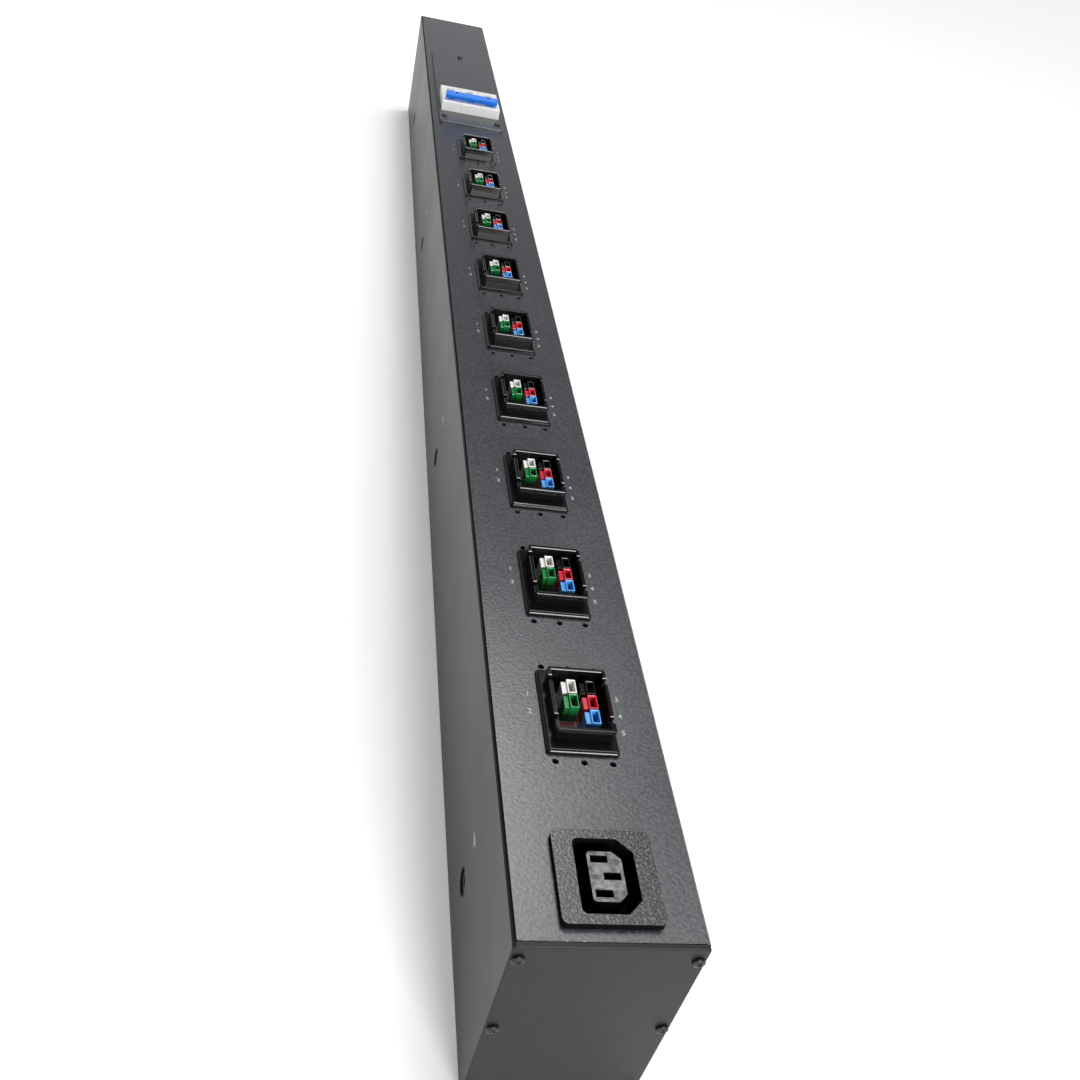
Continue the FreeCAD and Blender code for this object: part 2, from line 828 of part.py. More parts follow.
def breaker_pole(x):
    """One breaker pole: stepped body on the rail, terminals at both ends, slot for its lever."""
    half = pole_length / 2
    face_half = face_length / 2
    shoulder = case_depth - shoulder_drop
    heel = rail_top - heel_drop
    seat_half = rail_width / 2 + hook_clearance
    hook_half = rail_width / 2 - hook_reach
    hook_top = rail_top - rail_sheet - hook_clearance
    left = [(-half, heel), (-hook_half, heel), (-hook_half, hook_top), (-seat_half, hook_top)]
    left.append((-seat_half, rail_top))
    under = left + [(-y, z) for y, z in reversed(left)]
    over = [(half, shoulder), (face_half, shoulder), (face_half, breaker_face)]
    outline = under + over + [(-y, z) for y, z in reversed(over)]
    width = pole_pitch - pole_gap
    points = [Vector(x - width / 2, breaker_y + y, z) for y, z in outline]
    body = extruded(points, RIGHT * width)
    brows = [edge for edge in edges_at(body, breaker_face) if edge.BoundBox.XLength > width / 2]
    body = body.makeChamfer(face_edge, brows)
    cuts = []
    for end in (-1, 1):
        mouth = breaker_y + end * half
        bottom = mouth - end * terminal_depth
        y = (min(mouth, bottom), max(mouth, bottom))
        cuts.append(block(span(x, terminal_width), y, span(phase_bar_height, terminal_height)))
    slot_width = lever_width + 2 * lever_side_gap
    drum = toggle_drop + drum_proud + drum_clearance
    axis = Vector(x - slot_width / 2, breaker_y, axle_height)
    cuts.append(faceted([(drum, 0), (drum, slot_width)], axis, RIGHT, drum_count))
    throat_y = (breaker_y - throat_half, breaker_y + throat_half)
    cuts.append(block(span(x, slot_width), throat_y, (axle_height, breaker_face + drum_proud)))
    bore = Vector(x - pole_pitch, breaker_y, axle_height)
    cuts.append(drilled(bore, RIGHT, axle_radius + axle_seat_clearance, 2 * pole_pitch))
    return body.cut(cuts).removeSplitter()


def breaker_toggle():
    """Toggle: drums and levers in the pole slots, joined by one tie bar, laid over to its rest side."""
    pieces = []
    reach = tie_inner_radius + tie_height / 2
    for x in pole_places:
        axis = Vector(x - lever_width / 2, breaker_y, axle_height)
        drum = toggle_drop + drum_proud
        pieces.append(faceted([(drum, 0), (drum, lever_width)], axis, RIGHT, drum_count))
        lever_y = span(breaker_y, lever_thickness)
        pieces.append(block(span(x, lever_width), lever_y, (axle_height, axle_height + reach)))
    tie_top = axle_height + tie_inner_radius + tie_height
    tie_y = span(breaker_y, tie_section)
    tie = block(span(row_x, tie_length), tie_y, (axle_height + tie_inner_radius, tie_top))
    tie = tie.makeChamfer(tie_edge, tie.Edges)
    for x in span(row_x, grip_notch_spread):
        notch_y = (tie_y[1] - grip_notch_depth, tie_y[1])
        tie = tie.cut(block(span(x, grip_notch_width), notch_y, (tie_top - grip_notch_depth, tie_top)))
    body = pieces[0].multiFuse(pieces[1:] + [tie])
    bore = Vector(row_x - tie_length, breaker_y, axle_height)
    cutter = drilled(bore, RIGHT, axle_radius + axle_running_clearance, 2 * tie_length)
    body = body.cut(cutter).removeSplitter()
    return body.rotated(Vector(0, breaker_y, axle_height), RIGHT, toggle_rest_angle)


def toggle_axle():
    """Pin through the poles on which the toggle turns."""
    length = pole_count * pole_pitch - pole_gap - 2 * axle_end_inset
    return rod(Vector(row_x - length / 2, breaker_y, axle_height), RIGHT, axle_radius, length)


def din_rail():
    """Hat-shaped rail across the case under the breaker."""
    flange = rail_width / 2
    hat = rail_hat_width / 2
    top = rail_top
    floor = rail_top - rail_depth
    right = [(hat - rail_sheet, floor + rail_sheet), (hat - rail_sheet, top), (flange, top)]
    right += [(flange, top - rail_sheet), (hat, top - rail_sheet), (hat, floor)]
    outline = right + [(-y, z) for y, z in reversed(right)]
    points = [Vector(-rail_length / 2, breaker_y + y, z) for y, z in outline]
    return extruded(points, RIGHT * rail_length)


def rail_bridge():
    """Sheet bridge from the back wall that carries the rail."""
    top = rail_top - rail_depth
    half = bridge_width / 2
    inner = half - bridge_sheet
    foot = half - bridge_foot
    right = [(inner, top - bridge_sheet), (inner, wall + bridge_sheet), (foot, wall + bridge_sheet)]
    right += [(foot, wall), (half, wall), (half, top)]
    outline = right + [(-x, z) for x, z in reversed(right)]
    start = breaker_y - bridge_length / 2
    return extruded([Vector(x, start, z) for x, z in outline], AWAY * bridge_length)


def plate_screw_places():
    """Screw seats on the cover plate: two at the near corners, one at the far end."""
    top = case_depth + plate_thickness
    half = plate_width / 2 - plate_screw_side_inset
    near = along(plate_start + plate_screw_near_inset)
    return [
        Vector(row_x - half, near, top),
        Vector(row_x + half, near, top),
        Vector(row_x, along(plate_end - plate_screw_far_inset), top),
    ]


def breaker_cover_plate():
    """Plate on the panel with a close window round the breaker face."""
    z = (case_depth, case_depth + plate_thickness)
    y = (along(plate_start), along(plate_end))
    body = rounded_block(span(row_x, plate_width), y, z, plate_corner)
    window_x = pole_count * pole_pitch + 2 * window_clearance
    cuts = [block(span(row_x, window_x), span(breaker_y, face_length + 2 * window_clearance), z)]
    for place in plate_screw_places():
        start = Vector(place.x, place.y, z[0])
        cuts.append(drilled(start, UP, plate_screw_shank + cover_hole_clearance, plate_thickness))
    return body.cut(cuts)


def terminal_block():
    """Two-level input terminal block standing on the last cross bracket."""
    floor = bracket_floor + bracket_sheet
    start = along(block_start)
    end = start + block_length
    x = span(0, block_width)
    tall = block(x, (start, end), (floor, block_top))
    step = block(x, (end, end + step_length), (floor, step_top))
    body = tall.fuse(step)
    phases = ["line_1", "line_2", "line_3"]
    returns = ["neutral", "earth"]
    cuts = bar_tunnels((start, start + wire_hole_depth), block_clearance, phases)
    cuts += bar_tunnels((start, end + step_length - wire_hole_reach / 2), block_clearance, returns)
    for pole in phases:
        mouth = Vector(pole_bars[pole][0], end, phase_bar_height)
        cuts.append(drilled(mouth, AWAY * -1, wire_hole_radius, block_length - wire_hole_depth))
    for pole in returns:
        mouth = Vector(pole_bars[pole][0], end + step_length, return_bar_height)
        cuts.append(drilled(mouth, AWAY * -1, wire_hole_radius, wire_hole_reach))
    return body.cut(cuts).removeSplitter()


def earth_bond():
    """Strap from the earth bar to the land, its stud and its nut."""
    bar_x, bar_z, side = pole_bars["earth"]
    x = bar_x + side * (bar_thickness + bond_sheet) / 2
    half = bond_sheet / 2
    station = along(bond_station)
    route = [(x, bar_z + tail_overlap), (x, land_top + half), (x + bond_foot, land_top + half)]
    strap = bent_strip(route, bond_sheet, bond_width).translated(Vector(0, station, 0))
    root = Vector(x + stud_offset, station, land_top)
    strap = strap.cut(drilled(root, UP, stud_radius + stud_clearance, bond_sheet))
    stud = faceted([(stud_radius, 0), (stud_radius, stud_length)], root, UP, head_count)
    nut = hexagon(root + UP * bond_sheet, UP, nut_across_flats, nut_height)
    nut = nut.cut(drilled(root, UP, stud_radius + stud_clearance, 2 * nut_height))
    return strap, stud, nut


def gland():
    """Cable gland of the far end cover: body, seal, dome nut and inner locknut."""
    face = Vector(0, half_length, gland_height)
    inside = face - AWAY * (cover_thickness + gland_thread_length)
    neck_end = gland_hex_height + gland_neck_length
    run = cover_thickness + gland_thread_length + neck_end
    thread_run = [(gland_thread_radius, 0), (gland_thread_radius, run - neck_end)]
    thread = faceted(thread_run, inside, AWAY, drum_count)
    hexed = hexagon(face, AWAY, gland_hex, gland_hex_height)
    neck_run = [(gland_neck_radius, gland_hex_height), (gland_neck_radius, neck_end)]
    neck = faceted(neck_run, face, AWAY, drum_count)
    body = thread.multiFuse([hexed, neck]).cut(drilled(inside, AWAY, gland_bore_radius, run, drum_count))
    seal_radius = gland_bore_radius - seal_clearance
    seal_start = face + AWAY * (neck_end - seal_length)
    seal = faceted([(seal_radius, 0), (seal_radius, seal_length)], seal_start, AWAY, drum_count)
    seal = seal.cut(rod(seal_start, AWAY, seal_bore_radius, seal_length))
    seat = face + AWAY * (gland_hex_height + gland_clearance)
    crown = [(dome_radius, 0), (dome_radius, dome_brow), (dome_shoulder_radius, dome_shoulder)]
    crown.append((dome_top_radius, dome_length))
    dome = faceted(crown, seat, AWAY, drum_count)
    hollow = drilled(seat, AWAY, gland_neck_radius + gland_clearance, dome_length - dome_lip, drum_count)
    dome = dome.cut([hollow, drilled(seat, AWAY, dome_mouth_radius, dome_length, drum_count)])
    nut_start = face - AWAY * (cover_thickness + locknut_height)
    locknut = hexagon(nut_start, AWAY, locknut_hex, locknut_height)
    thread_hole = drilled(nut_start, AWAY, gland_thread_radius + stud_clearance, locknut_height, drum_count)
    return body.removeSplitter(), seal, dome, locknut.cut(thread_hole)


nodes = {}
nodes["base_channel"] = base_channel()
nodes["front_panel"] = front_panel()
nodes["cross_brackets"] = cross_brackets()
nodes["side_screws"] = side_screws()
for name, side in (("near", -1), ("far", 1)):
    nodes[name + "_end_cover"] = end_cover(side)
    nodes[name + "_cover_screws"] = cover_screws(side)
gland_seat = Vector(0, half_length - cover_thickness, gland_height)
gland_hole = drilled(gland_seat, AWAY, gland_thread_radius + gland_clearance, cover_thickness, drum_count)
nodes["far_end_cover"] = nodes["far_end_cover"].cut(gland_hole)

shell = outlet_shell()
for index, place in enumerate(outlet_places):
    nodes["outlet_shell_" + str(index + 1)] = shell.translated(Vector(row_x, place, case_depth))
housing = contact_housing()
for pole, (column, row) in pole_cells.items():
    nodes[pole + "_housings"] = copies(housing, cell_places(column, row))
    nodes[pole + "_contacts"] = outlet_contacts(pole)
    nodes[pole + "_bar"] = busbar(pole)
nodes["blank_spacers"] = copies(blank_spacer(), cell_places(*blank_cell))
nodes["outlet_retainers"] = copies(retainer(), [Vector(row_x, y, case_depth) for y in outlet_places])
nodes["line_links"] = line_links()
nodes["bar_supports"] = bar_supports()

nodes["appliance_outlet_body"] = appliance_outlet_body()
nodes["appliance_outlet_contacts"] = appliance_outlet_contacts()

for index, x in enumerate(pole_places):
    nodes["breaker_pole_" + str(index + 1)] = breaker_pole(x)
nodes["breaker_toggle"] = breaker_toggle()
nodes["toggle_axle"] = toggle_axle()
nodes["din_rail"] = din_rail()
nodes["rail_bridge"] = rail_bridge()
nodes["breaker_cover_plate"] = breaker_cover_plate()
nodes["cover_plate_screws"] = Part.makeCompound(
    [
        pan_screw(p, UP, plate_screw_head, plate_screw_head_height, plate_screw_shank, plate_screw_length)
        for p in plate_screw_places()
    ]
)

nodes["terminal_block"] = terminal_block()
nodes["earth_strap"], nodes["earth_stud"], nodes["earth_nut"] = earth_bond()
nodes["gland_body"], nodes["gland_seal"], nodes["gland_dome_nut"], nodes["gland_locknut"] = gland()

os.makedirs("parts", exist_ok=True)
for name, shape in nodes.items():
    if not shape.isValid():
        raise ValueError(name + " is not a valid shape")
    shape.exportStep("parts/" + name + ".step")
print(len(nodes), "nodes written")
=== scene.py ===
# %% [markdown]
# # A rack power distribution unit
# The unit is a long slim metal case that lies on its back. Its face carries one appliance outlet, a row of
# five-pole connector outlets and a circuit breaker with a blue toggle. The solids are already built and
# packed with their joint. This lesson dresses them: it sets the camera and the studio, mixes the finishes,
# rounds the edges that catch the light, and adds real screw heads and small printed numerals.

import bpy
import bmesh
import json
import math
from mathutils import Matrix, Vector


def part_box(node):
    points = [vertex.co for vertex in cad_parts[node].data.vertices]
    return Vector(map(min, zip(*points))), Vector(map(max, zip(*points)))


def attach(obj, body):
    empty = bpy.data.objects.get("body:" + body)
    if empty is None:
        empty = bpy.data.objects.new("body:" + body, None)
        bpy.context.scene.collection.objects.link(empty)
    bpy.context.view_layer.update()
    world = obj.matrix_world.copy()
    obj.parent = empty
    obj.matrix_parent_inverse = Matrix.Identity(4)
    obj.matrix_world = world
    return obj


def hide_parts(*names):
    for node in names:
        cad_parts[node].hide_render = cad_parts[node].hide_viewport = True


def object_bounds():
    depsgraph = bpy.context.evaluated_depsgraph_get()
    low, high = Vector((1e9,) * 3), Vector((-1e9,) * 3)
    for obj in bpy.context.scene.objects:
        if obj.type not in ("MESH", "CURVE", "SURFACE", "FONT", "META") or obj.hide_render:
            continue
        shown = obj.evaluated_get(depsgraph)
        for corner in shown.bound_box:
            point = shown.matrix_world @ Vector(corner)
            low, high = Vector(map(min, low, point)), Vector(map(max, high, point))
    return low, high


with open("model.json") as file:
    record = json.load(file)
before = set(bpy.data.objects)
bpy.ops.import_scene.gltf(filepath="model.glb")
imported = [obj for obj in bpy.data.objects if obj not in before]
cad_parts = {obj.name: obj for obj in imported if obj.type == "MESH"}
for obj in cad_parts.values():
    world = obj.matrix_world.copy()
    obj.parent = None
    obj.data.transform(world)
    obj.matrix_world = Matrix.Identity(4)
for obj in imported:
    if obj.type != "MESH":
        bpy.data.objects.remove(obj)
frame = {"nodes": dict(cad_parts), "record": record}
cad_low, cad_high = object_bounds()
CASE = "case"
TOGGLE = "toggle"
OUTLETS = ["outlet_shell_" + str(index) for index in range(1, 10)]
POLES = ("neutral", "earth", "line_1", "line_2", "line_3")

# %% [markdown]
# ## Camera
# The picture was taken from above the near end, a little to the left, with the case running away from us.
# The lens and the stand of the camera were solved from the straight edges of the case, so they are plain
# numbers here: a place in metres, three turns in degrees and a focal length on a 36 mm sensor.

# %% Camera
CAMERA_PLACE = (-0.1176, -0.7660, 0.4275)
CAMERA_TURNS = (51.912, -12.212, -6.401)
FOCAL_LENGTH = 36.72
SENSOR_WIDTH = 36.0
NEAREST_VIEW = 0.01
camera = bpy.data.objects.new("camera", bpy.data.cameras.new("camera"))
bpy.context.collection.objects.link(camera)
camera.location = CAMERA_PLACE
camera.rotation_euler = [math.radians(turn) for turn in CAMERA_TURNS]
camera.data.sensor_width = SENSOR_WIDTH
camera.data.lens = FOCAL_LENGTH
camera.data.clip_start = NEAREST_VIEW
bpy.context.scene.camera = camera
bpy.context.scene.view_settings.view_transform = "Standard"
print("camera stands at", tuple(round(value, 3) for value in camera.location))

# %% [markdown]
# ## World and floor
# The world is white near the horizon and dim overhead, as in a room with light walls and no bright ceiling.
# Dark mouldings mirror what lies above them, so the dim part keeps them black, while a low view of the unit
# still has a pale ground behind it. The floor is a white bench that takes the soft shadow of the case. Its
# white is lifted a little for the eye and for mirrors only, so the lamps can stay at a plain level.

# %% World
SKY_LOW = 0.90
SKY_HIGH = 0.12
SKY_FADE = (0.10, 0.40)
SKY_TINT = (0.97, 0.98, 1.0, 1.0)
world = bpy.data.worlds.new("studio")
world.use_nodes = True
bpy.context.scene.world = world
sky = world.node_tree
sky_soft = sky.nodes["Background"]
sky_soft.inputs["Color"].default_value = SKY_TINT
sky_place = sky.nodes.new("ShaderNodeTexCoord")
sky_axes = sky.nodes.new("ShaderNodeSeparateXYZ")
sky_fade = sky.nodes.new("ShaderNodeMapRange")
sky_fade.inputs["From Min"].default_value, sky_fade.inputs["From Max"].default_value = SKY_FADE
sky_fade.inputs["To Min"].default_value = SKY_LOW
sky_fade.inputs["To Max"].default_value = SKY_HIGH
sky.links.new(sky_place.outputs["Generated"], sky_axes.inputs["Vector"])
sky.links.new(sky_axes.outputs["Z"], sky_fade.inputs["Value"])
sky.links.new(sky_fade.outputs["Result"], sky_soft.inputs["Strength"])
print("sky from", SKY_LOW, "at the horizon to", SKY_HIGH, "overhead")

# %% Floor
FLOOR_REACH = 6.0
FLOOR_TONE = (0.97, 0.96, 0.94, 1.0)
FLOOR_ROUGHNESS = 0.6
FLOOR_LIFT = 0.23
LIFT_TONE = (1.0, 1.0, 1.0, 1.0)
bm = bmesh.new()
bmesh.ops.create_grid(bm, x_segments=1, y_segments=1, size=FLOOR_REACH)
floor_mesh = bpy.data.meshes.new("floor")
bm.to_mesh(floor_mesh)
bm.free()
floor = bpy.data.objects.new("floor", floor_mesh)
bpy.context.collection.objects.link(floor)
floor_paint = bpy.data.materials.new("floor_paint")
floor_paint.use_nodes = True
floor_tree = floor_paint.node_tree
floor_shader = floor_tree.nodes["Principled BSDF"]
floor_shader.inputs["Base Color"].default_value = FLOOR_TONE
floor_shader.inputs["Roughness"].default_value = FLOOR_ROUGHNESS
floor_shader.inputs["Emission Color"].default_value = LIFT_TONE
rays = floor_tree.nodes.new("ShaderNodeLightPath")
seen = rays.outputs["Is Camera Ray"]
for kind in ("Is Glossy Ray", "Is Transmission Ray"):
    either = floor_tree.nodes.new("ShaderNodeMath")
    either.operation = "MAXIMUM"
    floor_tree.links.new(seen, either.inputs[0])
    floor_tree.links.new(rays.outputs[kind], either.inputs[1])
    seen = either.outputs[0]
lift = floor_tree.nodes.new("ShaderNodeMath")
lift.operation = "MULTIPLY"
lift.inputs[1].default_value = FLOOR_LIFT
floor_tree.links.new(seen, lift.inputs[0])
floor_tree.links.new(lift.outputs[0], floor_shader.inputs["Emission Strength"])
floor.data.materials.append(floor_paint)
print("floor", 2 * FLOOR_REACH, "m wide")

# %% [markdown]
# ## Lights
# A wide soft sun gives most of the light. It is the same everywhere, so the bench stays white to its edges.
# It is tilted a little to the right and to the far side, so a narrow soft shadow lies on the left and in
# front. A narrow panel stands high behind the far end, just where the near part of the face mirrors it, and
# makes the sheen that fades from left to right. A low panel well in front lifts what faces us.


# %% Lights
def add_light(name, kind, place, aim, power):
    """Light of a kind at a place, turned towards a point."""
    lamp = bpy.data.lights.new(name, kind)
    lamp.energy = power
    holder = bpy.data.objects.new(name, lamp)
    bpy.context.collection.objects.link(holder)
    holder.location = place
    holder.rotation_euler = (Vector(aim) - Vector(place)).to_track_quat("-Z", "Y").to_euler()
    return lamp


def panel_light(name, place, aim, size, power):
    """Rectangular soft light."""
    lamp = add_light(name, "AREA", place, aim, power)
    lamp.shape = "RECTANGLE"
    lamp.size, lamp.size_y = size


SUN_SPREAD = 44.0
sun = add_light("top_light", "SUN", place=(0.44, 0.36, 2.0), aim=(0.0, 0.0, 0.0), power=1.75)
sun.angle = math.radians(SUN_SPREAD)
panel_light("sheen_light", place=(0.24, 0.75, 1.80), aim=(-0.02, -0.45, 0.1), size=(0.36, 0.45), power=8.3)
panel_light("front_light", place=(0.60, -2.80, 0.90), aim=(0.0, 0.20, 0.1), size=(0.9, 0.9), power=52.0)

# %% [markdown]
# ## Shared surface effects
# Three effects return on many surfaces, so each is a node group with named inputs. `coat_grain` is the fine
# sand or orange peel of a sprayed or moulded surface. `handling_marks` is the faint cloudiness of touched
# surfaces. `dust_specks` are the few pale grains that lie on every dark unit.


# %% Node group helpers
def new_group(name, inputs, outputs):
    """Empty shader node group with float inputs {name: default} and float outputs."""
    group = bpy.data.node_groups.new(name, "ShaderNodeTree")
    for label, value in inputs.items():
        socket = group.interface.new_socket(name=label, in_out="INPUT", socket_type="NodeSocketFloat")
        socket.default_value = value
    for label in outputs:
        group.interface.new_socket(name=label, in_out="OUTPUT", socket_type="NodeSocketFloat")
    start = group.nodes.new("NodeGroupInput")
    end = group.nodes.new("NodeGroupOutput")
    return group, start, end


def noise(tree, coordinates, scale, detail, roughness):
    """Noise texture on Object coordinates; scale is a number or a socket."""
    texture = tree.nodes.new("ShaderNodeTexNoise")
    texture.inputs["Detail"].default_value = detail
    texture.inputs["Roughness"].default_value = roughness
    tree.links.new(coordinates, texture.inputs["Vector"])
    if isinstance(scale, (int, float)):
        texture.inputs["Scale"].default_value = scale
    else:
        tree.links.new(scale, texture.inputs["Scale"])
    return texture.outputs["Fac"]


def ranged(tree, value, low=0.0, high=1.0, to_low=0.0, to_high=1.0):
    """Map Range node; every limit is a number or a socket."""
    node = tree.nodes.new("ShaderNodeMapRange")
    tree.links.new(value, node.inputs["Value"])
    for label, limit in (("From Min", low), ("From Max", high), ("To Min", to_low), ("To Max", to_high)):
        if isinstance(limit, (int, float)):
            node.inputs[label].default_value = limit
        else:
            tree.links.new(limit, node.inputs[label])
    return node.outputs["Result"]


print("node groups so far:", len(bpy.data.node_groups))

# %% Grain, handling marks and dust
grain_inputs = {"Scale": 1500.0, "Low": 0.3, "High": 0.7}
grain_group, start, end = new_group("coat_grain", grain_inputs, ["Height", "Shade"])
place = grain_group.nodes.new("ShaderNodeTexCoord").outputs["Object"]
fine = noise(grain_group, place, start.outputs["Scale"], detail=3.0, roughness=0.6)
grain_group.links.new(fine, end.inputs["Height"])
shade = ranged(grain_group, fine, low=start.outputs["Low"], high=start.outputs["High"])
grain_group.links.new(shade, end.inputs["Shade"])

marks_group, start, end = new_group("handling_marks", {"Scale": 14.0}, ["Mask"])
place = marks_group.nodes.new("ShaderNodeTexCoord").outputs["Object"]
clouds = noise(marks_group, place, start.outputs["Scale"], detail=3.0, roughness=0.5)
marks_group.links.new(ranged(marks_group, clouds, low=0.3, high=0.75), end.inputs["Mask"])

dust_group, start, end = new_group("dust_specks", {"Scale": 260.0, "Size": 0.1}, ["Mask"])
place = dust_group.nodes.new("ShaderNodeTexCoord").outputs["Object"]
cells = dust_group.nodes.new("ShaderNodeTexVoronoi")
dust_group.links.new(place, cells.inputs["Vector"])
dust_group.links.new(start.outputs["Scale"], cells.inputs["Scale"])
speck = ranged(dust_group, cells.outputs["Distance"], high=start.outputs["Size"], to_low=1.0, to_high=0.0)
drift = noise(dust_group, place, scale=9.0, detail=2.0, roughness=0.5)
patch = ranged(dust_group, drift, low=0.55, high=0.75)
sparse = dust_group.nodes.new("ShaderNodeMath")
sparse.operation = "MULTIPLY"
dust_group.links.new(speck, sparse.inputs[0])
dust_group.links.new(patch, sparse.inputs[1])
dust_group.links.new(sparse.outputs[0], end.inputs["Mask"])
print("effects:", [group.name for group in bpy.data.node_groups])

# %% [markdown]
# ## Finishes
# One function mixes every finish from the shared effects: a dark and a light tone that the grain blends, a
# roughness that the marks shift a little, a bump from the grain and a trace of dust. The values make the
# difference between a sandy powder coat, a satin one, a glossy moulding or a plated strip. Grain is in grains
# per metre, and bump is a height in metres.


# %% Finish function
DUST_TONE = (0.55, 0.54, 0.52, 1.0)


def finish(name, dark, light, rough, grain, bump, cut=(0.3, 0.7), metal=0.0, dust=0.0, specular=0.5):
    """Principled material: two tones that the grain blends between the cut limits, roughness, bump, dust."""
    material = bpy.data.materials.new(name)
    material.use_nodes = True
    tree = material.node_tree
    surface = tree.nodes["Principled BSDF"]
    surface.inputs["Metallic"].default_value = metal
    surface.inputs["Specular IOR Level"].default_value = specular
    grains = tree.nodes.new("ShaderNodeGroup")
    grains.node_tree = grain_group
    grains.inputs["Scale"].default_value = grain
    grains.inputs["Low"].default_value, grains.inputs["High"].default_value = cut
    marks = tree.nodes.new("ShaderNodeGroup")
    marks.node_tree = marks_group
    specks = tree.nodes.new("ShaderNodeGroup")
    specks.node_tree = dust_group
    tone = tree.nodes.new("ShaderNodeMix")
    tone.data_type = "RGBA"
    tone.inputs["A"].default_value = (*dark, 1.0)
    tone.inputs["B"].default_value = (*light, 1.0)
    tree.links.new(grains.outputs["Shade"], tone.inputs["Factor"])
    dusty = tree.nodes.new("ShaderNodeMix")
    dusty.data_type = "RGBA"
    dusty.inputs["B"].default_value = DUST_TONE
    tree.links.new(tone.outputs["Result"], dusty.inputs["A"])
    tree.links.new(ranged(tree, specks.outputs["Mask"], to_high=dust), dusty.inputs["Factor"])
    tree.links.new(dusty.outputs["Result"], surface.inputs["Base Color"])
    cloudy = ranged(tree, marks.outputs["Mask"], to_low=rough[0], to_high=rough[1])
    tree.links.new(cloudy, surface.inputs["Roughness"])
    relief = tree.nodes.new("ShaderNodeBump")
    relief.inputs["Distance"].default_value = bump
    tree.links.new(grains.outputs["Height"], relief.inputs["Height"])
    tree.links.new(relief.outputs["Normal"], surface.inputs["Normal"])
    return material


print("dust tone:", DUST_TONE[:3])

# %% Coats, mouldings and metals
FINE = 0.00001
RECIPES = {
    "satin_coat": dict(
        dark=(0.014, 0.014, 0.015), light=(0.022, 0.022, 0.023), rough=(0.33, 0.39), grain=1800.0,
        bump=0.00002, dust=0.4, specular=0.16,
    ),
    "sandy_coat": dict(
        dark=(0.013, 0.013, 0.017), light=(0.067, 0.068, 0.081), rough=(0.28, 0.33), grain=700.0,
        bump=0.00008, cut=(0.34, 0.66), dust=0.5, specular=0.72,
    ),
    "worn_edge": dict(
        dark=(0.014, 0.014, 0.015), light=(0.34, 0.34, 0.35), rough=(0.34, 0.42), grain=340.0, bump=FINE,
        cut=(0.60, 0.68),
    ),
    "gloss_black": dict(
        dark=(0.005, 0.005, 0.006), light=(0.007, 0.007, 0.008), rough=(0.10, 0.16), grain=500.0, bump=FINE,
        dust=0.15, specular=0.40,
    ),
    # Sparse pale flecks in the grain: painted glints on the black flange.
    "sandy_black_painted_glints": dict(
        dark=(0.010, 0.010, 0.012), light=(0.180, 0.180, 0.190), rough=(0.22, 0.28), grain=900.0,
        bump=0.00012, cut=(0.50, 0.74), dust=0.2,
    ),
    # Black of the toggle's grip pads, and painted shade on the case's left lip, the screw seats and the
    # appliance outlet's walls.
    "black_and_painted_shade": dict(
        dark=(0.004, 0.004, 0.005), light=(0.006, 0.006, 0.007), rough=(0.60, 0.70), grain=900.0, bump=FINE,
        specular=0.04,
    ),
    "pale_core": dict(
        dark=(0.06, 0.06, 0.063), light=(0.27, 0.27, 0.28), rough=(0.14, 0.22), grain=320.0, bump=0.00014,
        cut=(0.36, 0.64),
    ),
    "white_gloss": dict(
        dark=(0.85, 0.84, 0.80), light=(0.90, 0.89, 0.85), rough=(0.25, 0.35), grain=500.0, bump=FINE,
    ),
    "green_gloss": dict(
        dark=(0.008, 0.20, 0.048), light=(0.013, 0.25, 0.063), rough=(0.18, 0.26), grain=500.0, bump=FINE,
    ),
    "red_gloss": dict(
        dark=(0.62, 0.022, 0.042), light=(0.70, 0.032, 0.054), rough=(0.18, 0.26), grain=500.0, bump=FINE,
    ),
    "blue_gloss": dict(
        dark=(0.090, 0.39, 0.86), light=(0.110, 0.44, 0.92), rough=(0.18, 0.26), grain=500.0, bump=FINE,
    ),
    "dark_red": dict(
        dark=(0.12, 0.014, 0.014), light=(0.16, 0.019, 0.019), rough=(0.45, 0.55), grain=900.0, bump=FINE,
    ),
    "breaker_white": dict(
        dark=(0.80, 0.80, 0.79), light=(0.84, 0.84, 0.83), rough=(0.44, 0.54), grain=900.0, bump=FINE,
        specular=0.2,
    ),
    "toggle_blue": dict(
        dark=(0.008, 0.17, 0.72), light=(0.013, 0.20, 0.80), rough=(0.32, 0.42), grain=700.0, bump=FINE,
        specular=0.3,
    ),
    "dull_black": dict(
        dark=(0.014, 0.014, 0.015), light=(0.022, 0.022, 0.023), rough=(0.55, 0.68), grain=900.0,
        bump=0.00003,
    ),
    "soft_rubber": dict(
        dark=(0.018, 0.018, 0.018), light=(0.026, 0.026, 0.026), rough=(0.70, 0.80), grain=700.0,
        bump=0.00004,
    ),
    "black_oxide": dict(
        dark=(0.018, 0.018, 0.019), light=(0.028, 0.028, 0.029), rough=(0.24, 0.32), grain=1500.0, bump=FINE,
        metal=0.4,
    ),
    "plated_strip": dict(
        dark=(0.74, 0.73, 0.70), light=(0.82, 0.81, 0.78), rough=(0.18, 0.28), grain=900.0, bump=FINE,
        metal=1.0,
    ),
    "bare_copper": dict(
        dark=(0.70, 0.33, 0.18), light=(0.78, 0.40, 0.24), rough=(0.26, 0.38), grain=700.0, bump=FINE,
        metal=1.0,
    ),
    "zinc_steel": dict(
        dark=(0.52, 0.53, 0.54), light=(0.60, 0.61, 0.62), rough=(0.30, 0.42), grain=600.0, bump=FINE,
        metal=1.0,
    ),
    "white_ink": dict(
        dark=(0.42, 0.42, 0.41), light=(0.52, 0.52, 0.51), rough=(0.50, 0.60), grain=900.0, bump=FINE,
    ),
}
# Darker copies of the housing colours: painted shade for the roots deep in the shell.
ROOT_SHADE = 0.15
